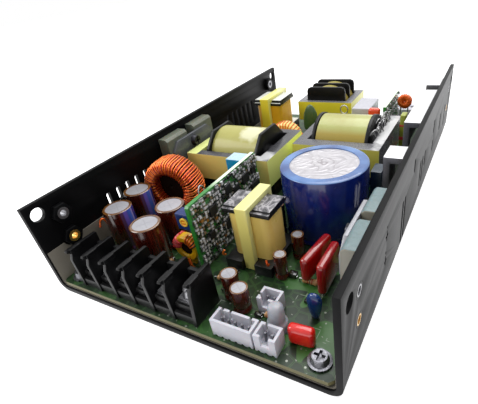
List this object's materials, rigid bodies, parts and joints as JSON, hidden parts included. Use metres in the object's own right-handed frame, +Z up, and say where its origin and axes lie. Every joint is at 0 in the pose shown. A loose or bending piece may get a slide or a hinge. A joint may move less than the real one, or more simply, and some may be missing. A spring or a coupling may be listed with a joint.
{
  "type": "open frame power supply",
  "caption": "Long open frame power supply: a black U channel chassis holding a green board with a screw terminal block, headers, capacitors, wound toroids and taped transformers.",
  "frame": {"origin": "middle of the chassis underside", "axes": "+X across the chassis to its right wall, +Y along it from the output terminals to the line end, +Z up out of the open top"},
  "size_m": [0.122, 0.2, 0.039],
  "materials": {
    "chassis_paint": "semi-gloss black sheet",
    "zinc_steel": "zinc plated",
    "insulator_film": "thin grey brown film",
    "board_laminate": "green solder mask",
    "green_board": "green solder mask, pale edge",
    "black_plastic": "moulded black",
    "plated_clamp": "plated",
    "white_nylon": "moulded white",
    "tinned_pin": "tinned",
    "led_lens": "milky translucent lens",
    "brown_sleeve": "shrink sleeve, bare metal top",
    "blue_sleeve": "shrink sleeve, pale top",
    "dark_core": "painted iron powder",
    "copper_wire": "enamelled copper",
    "trimmer_blue": "moulded blue",
    "trimmer_yellow": "moulded yellow",
    "yellow_core": "coated iron powder",
    "chip_black": "moulded packages",
    "taped_ferrite": "ferrite, yellow film tape round the edge",
    "taped_winding": "film tape over wire",
    "red_coat": "dipped",
    "blue_coat": "dipped",
    "green_coat": "dipped",
    "cyan_case": "moulded case",
    "silicone": "soft silicone cap",
    "dark_clamp": "spring steel plate",
    "bright_clamp": "plain plate",
    "dark_screw": "blackened",
    "bracket_metal": "milled",
    "orange_core": "wound ring",
    "relay_case": "moulded case"
  },
  "bodies": {
    "frame": {"chassis": "chassis_paint", "clinch_nuts": "zinc_steel", "insulator_sheet": "insulator_film", "board_spacers": "zinc_steel", "main_board": "board_laminate", "board_screws": "zinc_steel", "terminal_block": "black_plastic", "terminal_screws": "plated_clamp", "terminal_clamps": "plated_clamp", "wide_header": "white_nylon", "front_header": "white_nylon", "rear_header": "white_nylon", "header_pins": "tinned_pin", "status_led": "led_lens", "output_capacitor_1": "brown_sleeve", "output_capacitor_2": "brown_sleeve", "output_capacitor_3": "brown_sleeve", "output_capacitor_4": "brown_sleeve", "bulk_capacitor": "blue_sleeve", "small_capacitors": "brown_sleeve", "output_toroid_core": "dark_core", "output_toroid_winding": "copper_wire", "trimmer_body": "trimmer_blue", "small_toroid_core": "yellow_core", "small_toroid_winding": "copper_wire", "control_board": "green_board", "control_chips": "chip_black", "control_pins": "tinned_pin", "aux_core": "taped_ferrite", "aux_bobbin": "black_plastic", "aux_winding": "taped_winding", "main_core": "taped_ferrite", "main_bobbin": "black_plastic", "main_winding": "taped_winding", "boost_core": "taped_ferrite", "boost_bobbin": "black_plastic", "boost_winding": "taped_winding", "choke_core": "taped_ferrite", "choke_bobbin": "black_plastic", "choke_winding": "taped_winding", "rear_core": "taped_ferrite", "rear_bobbin": "black_plastic", "rear_winding": "taped_winding", "film_capacitors": "red_coat", "small_film_capacitor": "red_coat", "disc_capacitor": "blue_coat", "varistor": "green_coat", "box_capacitor": "cyan_case", "left_device_caps": "silicone", "left_clamp": "dark_clamp", "right_device_caps": "silicone", "right_clamp": "bright_clamp", "clamp_screws": "dark_screw", "wall_brackets": "bracket_metal", "rear_board": "green_board", "rear_toroids": "orange_core", "bridge_rectifier": "black_plastic", "relay": "relay_case", "input_terminal": "white_nylon"},
    "trimmer_rotor": {"trimmer_rotor": "trimmer_yellow"}
  },
  "joints": [
    {"name": "trimmer_turn", "type": "hinge", "parent": "frame", "child": "trimmer_rotor", "pos_m": [-0.0092, -0.072, 0.0259], "axis": [0, 1, 0], "range_deg": [-135, 135]}
  ]
}
